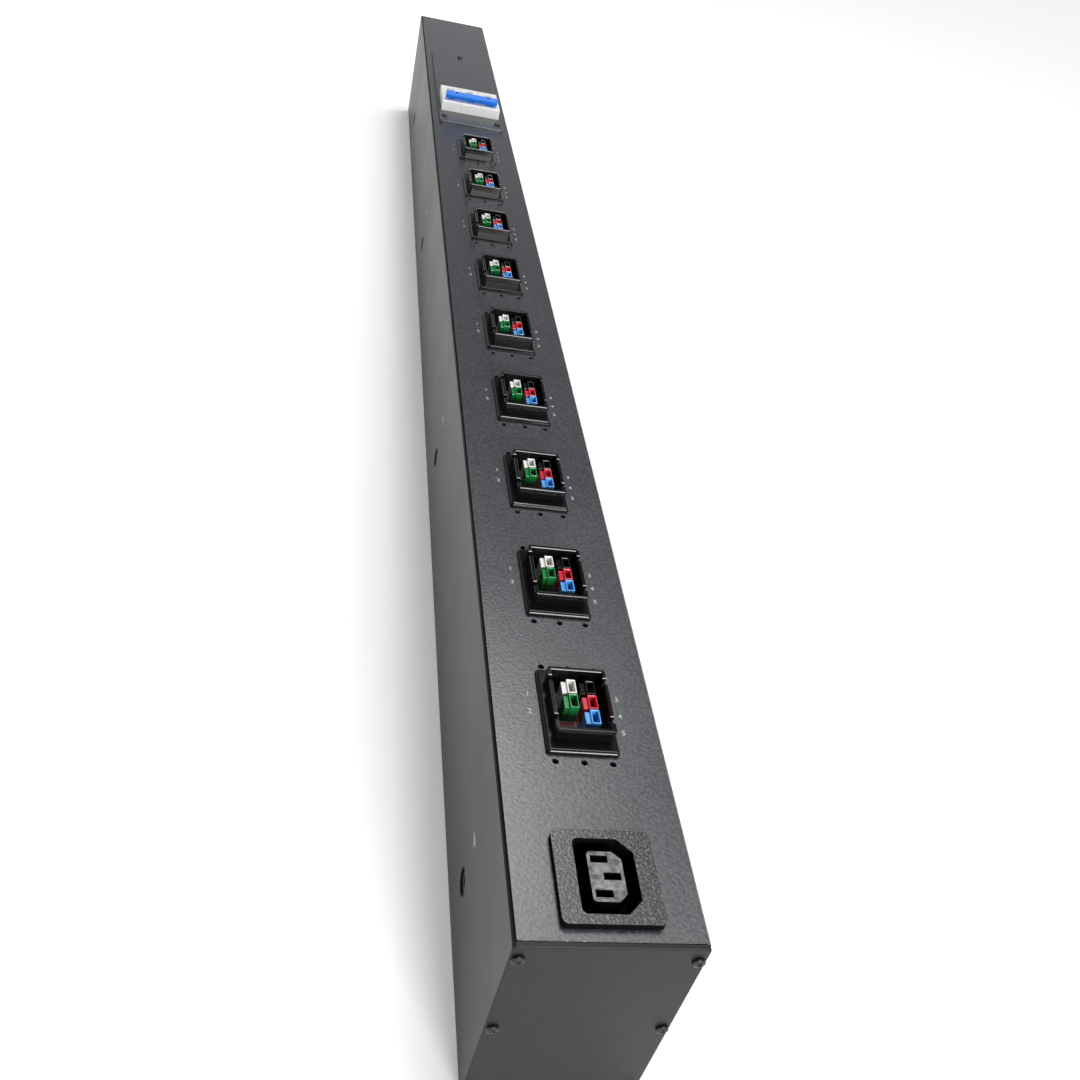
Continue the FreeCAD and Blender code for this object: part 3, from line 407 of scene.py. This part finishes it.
for label in ("white_gloss", "green_gloss", "gloss_black", "red_gloss", "blue_gloss"):
    recipe = dict(RECIPES[label])
    for tone in ("dark", "light"):
        recipe[tone] = tuple(ROOT_SHADE * part for part in recipe[tone])
    RECIPES[label + "_root"] = recipe
paint = {name: finish(name, **recipe) for name, recipe in RECIPES.items()}
print("finishes:", len(paint))

# %% [markdown]
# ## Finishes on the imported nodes
# A node whose shape is right keeps its mesh and only changes its material slot. The list pairs each finish
# with the nodes that wear it; hidden ones get theirs too, because the unit can be opened in a later use.

# %% Dress the nodes
wears = {
    "satin_coat": ["base_channel", "near_end_cover", "far_end_cover", "side_screws"],
    "sandy_coat": ["front_panel", "breaker_cover_plate"],
    "gloss_black": OUTLETS + ["line_1_housings"],
    "sandy_black_painted_glints": ["appliance_outlet_body"],
    "white_gloss": ["neutral_housings"],
    "green_gloss": ["earth_housings"],
    "red_gloss": ["line_2_housings"],
    "blue_gloss": ["line_3_housings"],
    "dark_red": ["blank_spacers"],
    "breaker_white": ["breaker_pole_1", "breaker_pole_2", "breaker_pole_3"],
    "toggle_blue": ["breaker_toggle"],
    "dull_black": ["outlet_retainers", "bar_supports", "terminal_block"]
    + ["gland_body", "gland_dome_nut", "gland_locknut"],
    "soft_rubber": ["gland_seal"],
    "black_oxide": ["near_cover_screws", "far_cover_screws", "cover_plate_screws"],
    "plated_strip": [pole + "_contacts" for pole in POLES],
    "bare_copper": [pole + "_bar" for pole in POLES]
    + ["line_links", "earth_strap", "appliance_outlet_contacts"],
    "zinc_steel": ["cross_brackets", "din_rail", "rail_bridge", "toggle_axle", "earth_stud", "earth_nut"],
}
worn = {}
for label, names in wears.items():
    for name in names:
        mesh = frame["nodes"][name].data
        mesh.materials.clear()
        mesh.materials.append(paint[label])
        worn[name] = label
print("dressed", len(worn), "of", len(frame["nodes"]), "nodes")

# %% [markdown]
# ## Rounded edges
# Moulded and painted edges are never sharp: a thin round catches the light and draws the form. A Bevel
# modifier could round every edge at once, but the smallest step would then limit the width everywhere. So
# `merged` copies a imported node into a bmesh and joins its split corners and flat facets, and `soften` bevels
# only the sharp outward edges that a test picks. `add_piece` turns the bmesh into an object that rides on a
# body and stands for the node. Heights are taken from the panel's own box, so the tests say "on the face"
# and not a number.

# %% Piece helpers
MERGE = 1e-6
NEAR = 1e-5
FLAT = math.radians(1.0)
SHARP = math.radians(28.0)
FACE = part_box("front_panel")[1][2]


def merged(node, join_flats=True):
    """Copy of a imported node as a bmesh, with its split corners and its flat facets joined."""
    bm = bmesh.new()
    bm.from_mesh(frame["nodes"][node].data)
    bmesh.ops.remove_doubles(bm, verts=bm.verts, dist=MERGE)
    if join_flats:
        bmesh.ops.dissolve_limit(bm, angle_limit=FLAT, verts=bm.verts, edges=bm.edges)
    return bm


def soften(bm, width, picked, segments=2):
    """Round the sharp outward edges that a test picks."""
    rims = [edge for edge in bm.edges if edge.is_manifold and edge.is_convex]
    rims = [edge for edge in rims if edge.calc_face_angle() > SHARP and picked(edge)]
    bmesh.ops.bevel(
        bm, geom=rims, offset=width, offset_type="OFFSET", affect="EDGES", segments=segments, profile=0.5,
        clamp_overlap=True, material=-1,
    )
    return bm


def add_piece(name, bm, body, labels, nodes=()):
    """Object made from a bmesh: it wears the named finishes, rides on a body and may stand for nodes."""
    mesh = bpy.data.meshes.new(name)
    bm.to_mesh(mesh)
    bm.free()
    for label in labels:
        mesh.materials.append(paint[label])
    piece = bpy.data.objects.new(name, mesh)
    bpy.context.collection.objects.link(piece)
    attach(piece, body)
    if nodes:
        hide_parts(*nodes)


def above(height):
    """Test for edges that lie wholly above a height."""
    return lambda edge: heights(edge)[0] > height


def heights(element):
    """Height of the lowest and of the highest corner of an edge or a face."""
    levels = [corner.co.z for corner in element.verts]
    return min(levels), max(levels)


on_face = above(FACE - NEAR)
print("face of the panel at", round(FACE, 4))

# %% [markdown]
# ## Case and front panel
# Seen close, the panel fills the case almost from wall to wall. A seam in shade runs along its left edge, the
# right edge is closed, and a hairline parts it from the end covers. So copies of both nodes are trimmed: the
# panel's edges move out to the walls and in from the covers, the left lip is painted black as painted shade for
# that seam, and the right one takes the finish of the panel. The near edge of the panel is rounded and worn:
# the coat has chipped in a few bright flecks. A mask could paint the wear too, but a finish of its own on the
# round keeps it just on the edge.

# %% Front panel
PANEL_EDGES = {-0.0322: -0.03345, 0.0331: 0.03345}
COVER_SEAM = 0.00035
PANEL_ROUND = 0.0003
EDGE_TILT = 0.2
panel_low, panel_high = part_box("front_panel")
bm = merged("front_panel", join_flats=False)
for corner in bm.verts:
    for old, new in PANEL_EDGES.items():
        if abs(corner.co.x - old) < NEAR:
            corner.co.x = new
    for end, way in ((panel_low[1], 1), (panel_high[1], -1)):
        if abs(corner.co.y - end) < NEAR:
            corner.co.y = end + way * COVER_SEAM
near_edge = panel_low[1] + COVER_SEAM + NEAR
soften(bm, PANEL_ROUND, lambda edge: on_face(edge) and max(v.co.y for v in edge.verts) < near_edge)
for face in bm.faces:
    if face.normal.y < -EDGE_TILT and face.normal.z > EDGE_TILT:
        face.material_index = 1
chipped = sum(face.material_index for face in bm.faces)
add_piece("front_panel_sheet", bm, CASE, ["sandy_coat", "worn_edge"], ["front_panel"])
print("faces on the worn edge:", chipped)

# %% [markdown]
# The long top edges of the case get a thin round. The side screws sit a little below the surface of the walls.
# Their seats lie deep in shade, so the mouth of each countersink is opened a little and painted black as
# painted shade. The left lip is painted black as well, as painted shade for the seam beside the panel.

# %% Case channel
LIP_EDGE = 0.0006
LIP_ROUND = 0.0004
SCREW_STATIONS = (-0.4990, -0.1895, 0.1294, 0.4440)
SCREW_HEIGHT = 0.0326
SEAT_REACH = 0.0064
SEAT_TRIM = 1.1
STRAIGHT_OUT = 0.99
half_width = cad_high[0]


def seat_of(spot):
    """Station and height of the side screw whose seat holds a point, or None."""
    for station in SCREW_STATIONS:
        if math.hypot(spot.y - station, spot.z - SCREW_HEIGHT) < SEAT_REACH:
            return station, SCREW_HEIGHT
    return None


def outermost(spot):
    """Whether a point lies on the outside of a side wall."""
    return abs(spot.x) > half_width - NEAR


bm = merged("base_channel", join_flats=False)
for corner in bm.verts:
    seat = seat_of(corner.co)
    if seat and outermost(corner.co):
        corner.co.y = seat[0] + SEAT_TRIM * (corner.co.y - seat[0])
        corner.co.z = seat[1] + SEAT_TRIM * (corner.co.z - seat[1])
soften(bm, LIP_ROUND, lambda edge: on_face(edge) and all(outermost(v.co) for v in edge.verts))
# The right lip takes the panel's coat; the left lip and the countersink seats take black as painted shade.
for face in bm.faces:
    middle = face.calc_center_median()
    if middle.z > FACE - LIP_EDGE and middle.x > 0:
        face.material_index = 2
    elif middle.z > FACE - NEAR or (seat_of(middle) and abs(face.normal.x) < STRAIGHT_OUT):
        face.material_index = 1
dark = sum(face.material_index == 1 for face in bm.faces)
add_piece(
    "case_extrusion", bm, CASE, ["satin_coat", "black_and_painted_shade", "sandy_coat"],
    ["base_channel"],
)
print("dark faces on the case:", dark)

# %% [markdown]
# ## Outlets
# Shells get a round on the rim of the collar and on the flange. The ledge under the collar's bead stays as it
# is, because a bevel there would be limited by its small step. The housings get a small round on every edge
# that shows, which gives each coloured block its bright outline. Their square roots stand deep in the shell, so
# they take a darker mix of the same colour: a painted shade.

# %% Outlets
FLANGE_TOP = 0.0026
RIM_BAND = 0.0002
SHELL_ROUND = 0.0004
HOUSING_ROUND = 0.00022
HOUSING_FOOT = 0.0052
ROOT_TOP = 0.0005


def rim_or_flange(top):
    """Test for edges on the rim of a shell that ends at a height, or on its flange."""

    def picked(edge):
        low, high = heights(edge)
        on_flange = low > FACE + RIM_BAND and high < FACE + FLANGE_TOP
        return low > top - RIM_BAND or on_flange

    return picked


for name in OUTLETS:
    bm = soften(merged(name), SHELL_ROUND, rim_or_flange(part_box(name)[1][2]))
    add_piece(name + "_moulding", bm, CASE, [worn[name]], [name])
for pole in POLES:
    name = pole + "_housings"
    bm = soften(merged(name), HOUSING_ROUND, above(FACE - HOUSING_FOOT))
    for face in bm.faces:
        # Faces below ROOT_TOP take the painted shade.
        if heights(face)[1] < FACE + ROOT_TOP:
            face.material_index = 1
    add_piece(name + "_moulding", bm, CASE, [worn[name], worn[name] + "_root"], [name])
print("rounded", len(OUTLETS), "shells and", len(POLES), "sets of housings")

# %% [markdown]
# The appliance outlet is one moulding in three tones. The flange is black with a coarse grain whose sparse pale
# flecks are painted glints, the core in the middle of the groove is pale and mottled, and the walls of flange,
# groove and slots are black with painted shade, though they are the same moulding as the flange. One material
# with masks could do this, but a finish for each face keeps the borders sharp. A face belongs to the core if
# all its corners lie in the core's outline and it looks upwards.

# %% Appliance outlet
CORE_HALF = (0.0066, 0.0104)
CORE_TILT = 0.2
CLEAR_OF_FACE = 0.001
WALL_TOP = 0.0028
UPWARD = 0.8
OUTLET_ROUND = 0.0004
name = "appliance_outlet_body"
bm = soften(merged(name), OUTLET_ROUND, above(FACE + CLEAR_OF_FACE), segments=3)
low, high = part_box(name)
centre = ((low[0] + high[0]) / 2, (low[1] + high[1]) / 2)
# Core faces take the pale finish; low faces and faces that do not look up take black as painted shade.
for face in bm.faces:
    reach_x = max(abs(corner.co.x - centre[0]) for corner in face.verts)
    reach_y = max(abs(corner.co.y - centre[1]) for corner in face.verts)
    bottom, top = heights(face)
    in_core = reach_x < CORE_HALF[0] and reach_y < CORE_HALF[1]
    if in_core and bottom > FACE + CLEAR_OF_FACE and face.normal.z > CORE_TILT:
        face.material_index = 1
    elif top < FACE + WALL_TOP or face.normal.z < UPWARD:
        face.material_index = 2
pale = sum(face.material_index == 1 for face in bm.faces)
add_piece(
    "appliance_outlet_moulding", bm, CASE, ["sandy_black_painted_glints", "pale_core", "black_and_painted_shade"], [name]
)
print("pale faces on the core:", pale)

# %% [markdown]
# ## Breaker
# The poles and the cover plate get their rounds too. On the toggle, the levers and the tie bar are blue,
# while the drums that close the slots are white like the poles: a face belongs to a drum if all its corners
# lie within the drum's radius of the axle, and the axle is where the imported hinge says. Two dark pads are let
# into the tie bar at its small notches; they are made upright and then laid over by the rest angle.

# %% Breaker and toggle
DRUM_RADIUS = 0.0166
BREAKER_ROUND = 0.0004
for index in (1, 2, 3):
    name = "breaker_pole_" + str(index)
    bm = soften(merged(name), BREAKER_ROUND, above(FACE + CLEAR_OF_FACE))
    add_piece(name + "_moulding", bm, CASE, [worn[name]], [name])
bm = soften(merged("breaker_toggle"), BREAKER_ROUND, above(FACE), segments=3)
hinge = Vector(frame["record"]["behaviour"]["joints"][0]["pos_m"])
for face in bm.faces:
    if all(math.hypot(corner.co.y - hinge.y, corner.co.z - hinge.z) < DRUM_RADIUS for corner in face.verts):
        face.material_index = 1
add_piece(
    "toggle_moulding", bm, TOGGLE, ["toggle_blue", "breaker_white"],
    ["breaker_toggle"],
)
bm = soften(merged("breaker_cover_plate"), BREAKER_ROUND, above(FACE + CLEAR_OF_FACE))
add_piece(
    "cover_plate_sheet", bm, CASE, [worn["breaker_cover_plate"]],
    ["breaker_cover_plate"],
)
print("toggle turns about", [round(value, 4) for value in hinge])

# %% Grip pads on the toggle
REST_ANGLE = math.radians(38.5)
PAD_SIZE = (0.0019, 0.0018, 0.0012)
PAD_SPREAD = 0.0143
PAD_BACK, PAD_UP = 0.00095, 0.02793
PAD_ROUND = 0.0002
toggle_low, toggle_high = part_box("breaker_toggle")
bar_middle = (toggle_low[0] + toggle_high[0]) / 2
lay_over = Matrix.Translation(hinge) @ Matrix.Rotation(REST_ANGLE, 4, "X")
bm = bmesh.new()
for side in (-1, 1):
    pad = bmesh.ops.create_cube(bm, size=1.0)["verts"]
    bmesh.ops.scale(bm, vec=PAD_SIZE, verts=pad)
    spot = Vector((bar_middle - hinge.x + side * PAD_SPREAD, PAD_BACK, PAD_UP))
    bmesh.ops.transform(bm, matrix=lay_over @ Matrix.Translation(spot), verts=pad)
bmesh.ops.bevel(
    bm, geom=bm.edges[:], offset=PAD_ROUND, offset_type="OFFSET", affect="EDGES", segments=2, profile=0.5,
    material=-1,
)
add_piece("toggle_grip_pads", bm, TOGGLE, ["black_and_painted_shade"])
print("pads at", PAD_SPREAD, "m to either side of the middle of the bar")

# %% [markdown]
# ## End covers and cable gland
# The end covers are painted sheet with a soft outline. Only the outer rim of the outward face is rounded; the
# screw holes lie under the heads. The gland's nuts get a round on their outer edges.

# %% End covers and gland
COVER_ROUND = 0.0007
OUTLINE_BAND = 0.0016


def cover_rim(outer):
    """Test for edges on the outline of a cover's outward face."""

    def on_outline(spot):
        at_side = outermost(spot) or not OUTLINE_BAND < spot.z < FACE - OUTLINE_BAND
        return at_side and abs(spot.y - outer) < NEAR

    return lambda edge: all(on_outline(corner.co) for corner in edge.verts)


for name, side in (("near_end_cover", 0), ("far_end_cover", 1)):
    bm = soften(merged(name), COVER_ROUND, cover_rim(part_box(name)[side][1]), segments=3)
    add_piece(name + "_sheet", bm, CASE, [worn[name]], [name])
GLAND_ROUND = 0.0005
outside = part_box("far_end_cover")[1][1]
for name in ("gland_body", "gland_dome_nut"):
    bm = soften(merged(name), GLAND_ROUND, lambda edge: min(v.co.y for v in edge.verts) > outside + NEAR)
    add_piece(name + "_moulding", bm, CASE, [worn[name]], [name])

# %% [markdown]
# ## Screws
# A screw is turned from a profile: dome, wall, shank and tip, spun about its own axis. Its cross recess is
# then pressed into the dome by a formula: a point inside either arm of the cross goes down by the recess
# depth, with a soft slope at the arms' edges. A boolean cut would be sharper, but it leaves long thin faces
# on a head this small. One turned screw serves a whole set; each copy is set on its seat.


# %% Screw maker
SPIN_STEPS = 48
DOME_RINGS = 16
CROSS_ARM = 0.56
CROSS_HALF_WIDTH = 0.15
CROSS_SLOPE = 0.07


def cross_depth(x, y):
    """How far a point of a head of radius one lies inside a cross recess, from 0 to 1."""
    depth = 0.0
    for run, side in ((abs(x), abs(y)), (abs(y), abs(x))):
        along = (CROSS_ARM - run) / CROSS_SLOPE
        across = (CROSS_HALF_WIDTH - side) / CROSS_SLOPE
        depth = max(depth, min(1.0, max(0.0, min(along, across) + 0.5)))
    return depth


def turned_screw(name, head, crown, skirt, recess, stem):
    """Mesh of one screw along +Z: head radius, crown and skirt heights, recess depth, then stem points."""
    bm = bmesh.new()
    rings = [index / DOME_RINGS for index in range(DOME_RINGS + 1)]
    profile = [(head * ring, skirt + crown * (1 - ring**2)) for ring in rings] + stem
    corners = [bm.verts.new((radius, 0.0, height)) for radius, height in profile]
    edges = [bm.edges.new(pair) for pair in zip(corners, corners[1:])]
    bmesh.ops.spin(
        bm, geom=corners + edges, cent=(0, 0, 0), axis=(0, 0, 1), angle=2 * math.pi, steps=SPIN_STEPS,
        use_merge=True,
    )
    bmesh.ops.remove_doubles(bm, verts=bm.verts, dist=MERGE)
    for corner in bm.verts:
        if corner.co.z > skirt + MERGE:
            corner.co.z -= recess * cross_depth(corner.co.x / head, corner.co.y / head)
    bmesh.ops.recalc_face_normals(bm, faces=bm.faces)
    for face in bm.faces:
        face.smooth = True
    mesh = bpy.data.meshes.new(name)
    bm.to_mesh(mesh)
    bm.free()
    return mesh


def set_copy(bm, mesh, place):
    """Add a copy of a mesh to a bmesh, put in its place by a matrix."""
    before = len(bm.verts)
    bm.from_mesh(mesh)
    bm.verts.ensure_lookup_table()
    bmesh.ops.transform(bm, matrix=place, verts=bm.verts[before:])


def facing(outward):
    """Turn that points a screw's head outward."""
    return Vector(outward).to_track_quat("Z", "Y").to_matrix().to_4x4()


print("cross depth at the middle:", cross_depth(0.0, 0.0), "and at the rim:", cross_depth(1.0, 0.0))

# %% [markdown]
# The covers' screws sit in the six ports of the case, the plate's screws at its near corners and its far end,
# and the countersunk ones in the side walls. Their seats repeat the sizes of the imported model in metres.

# %% Screws on the covers and the plate
PORT_X = 0.0319
PORT_HEIGHTS = (0.0080, 0.0532, 0.0987)
pan_head = turned_screw(
    "pan_screw", head=0.0024, crown=0.0008, skirt=0.0010, recess=0.0007,
    stem=[(0.0024, 0.0), (0.0013, 0.0), (0.0013, -0.0105), (0.0004, -0.0118)],
)
for name, cover, side, way in (
    ("near_cover_screws", "near_end_cover", 0, -1), ("far_cover_screws", "far_end_cover", 1, 1),
):
    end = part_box(cover)[side][1]
    bm = bmesh.new()
    for x in (-PORT_X, PORT_X):
        for z in PORT_HEIGHTS:
            set_copy(bm, pan_head, Matrix.Translation((x, end, z)) @ facing((0, way, 0)))
    add_piece(name + "_turned", bm, CASE, [worn[name]], [name])

plate_low, plate_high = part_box("breaker_cover_plate")
plate_middle = (plate_low[0] + plate_high[0]) / 2
PLATE_SPREAD, PLATE_NEAR, PLATE_FAR = 0.024, 0.014, 0.010
plate_spots = [(plate_middle + side * PLATE_SPREAD, plate_low[1] + PLATE_NEAR) for side in (-1, 1)]
plate_spots.append((plate_middle, plate_high[1] - PLATE_FAR))
plate_head = turned_screw(
    "plate_screw", head=0.0025, crown=0.0007, skirt=0.0008, recess=0.0006,
    stem=[(0.0025, 0.0), (0.00135, 0.0), (0.00135, -0.0068), (0.0004, -0.0078)],
)
bm = bmesh.new()
for x, y in plate_spots:
    set_copy(bm, plate_head, Matrix.Translation((x, y, plate_high[2])))
name = "cover_plate_screws"
add_piece(name + "_turned", bm, CASE, [worn[name]], [name])
print("pan heads:", 2 * 2 * len(PORT_HEIGHTS) + len(plate_spots))

# %% Countersunk screws in the sides
SINK = 0.0009
sunk_head = turned_screw(
    "sunk_screw", head=0.00463, crown=0.0001, skirt=0.0, recess=0.0013,
    stem=[(0.00245, -0.0022), (0.00245, -0.0060), (0.0010, -0.0064)],
)
bm = bmesh.new()
for way in (-1, 1):
    for station in SCREW_STATIONS:
        spot = Matrix.Translation((way * (half_width - SINK), station, SCREW_HEIGHT))
        set_copy(bm, sunk_head, spot @ facing((way, 0, 0)))
name = "side_screws"
add_piece(name + "_turned", bm, CASE, [worn[name]], [name])
print("sunk heads:", 2 * len(SCREW_STATIONS))

# %% [markdown]
# ## Printed numerals
# Small white marks stand beside every outlet and on the sides above the screws. Here they are plain numerals:
# one to five for the five poles, and a number for each side screw, counted from the cable end. A text curve
# is made a mesh of its own first, and copies of that mesh are then set on the surface, as thin as print.

# %% Numerals
INK = 0.00001
POLE_SIZE = 0.0034
SIDE_SIZE = 0.0100
SIDE_RISE = 0.0280
STROKE = 0.02
MARK_PLACES = {
    "1": (-0.0192, 0.0092), "2": (-0.0192, 0.0), "3": (0.0189, 0.0092), "4": (0.0189, 0.0),
    "5": (0.0189, -0.0090),
}


def numeral(digit, size):
    """Flat mesh of one numeral about its own middle, face up."""
    curve = bpy.data.curves.new("numeral_" + digit, "FONT")
    curve.body = digit
    curve.size = size
    curve.extrude = INK
    curve.offset = STROKE * size
    curve.align_x, curve.align_y = "CENTER", "CENTER"
    shape = bpy.data.objects.new("numeral_" + digit, curve)
    mesh = bpy.data.meshes.new_from_object(shape)
    bpy.data.objects.remove(shape)
    return mesh


bm = bmesh.new()
for digit, (across, along) in MARK_PLACES.items():
    mark = numeral(digit, POLE_SIZE)
    for name in OUTLETS:
        low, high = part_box(name)
        spot = ((low[0] + high[0]) / 2 + across, (low[1] + high[1]) / 2 + along, FACE + INK)
        set_copy(bm, mark, Matrix.Translation(spot))
add_piece("outlet_numerals", bm, CASE, ["white_ink"])
bm = bmesh.new()
for index, station in enumerate(SCREW_STATIONS):
    mark = numeral(str(len(SCREW_STATIONS) - index), SIDE_SIZE)
    for way in (-1, 1):
        turn = Matrix(((0, 0, way), (0, 1, 0), (-way, 0, 0))).to_4x4()
        spot = (way * half_width, station, SCREW_HEIGHT + SIDE_RISE)
        set_copy(bm, mark, Matrix.Translation(spot) @ turn)
add_piece("side_numerals", bm, CASE, ["white_ink"])
print("numerals:", len(OUTLETS) * len(MARK_PLACES) + 2 * len(SCREW_STATIONS))
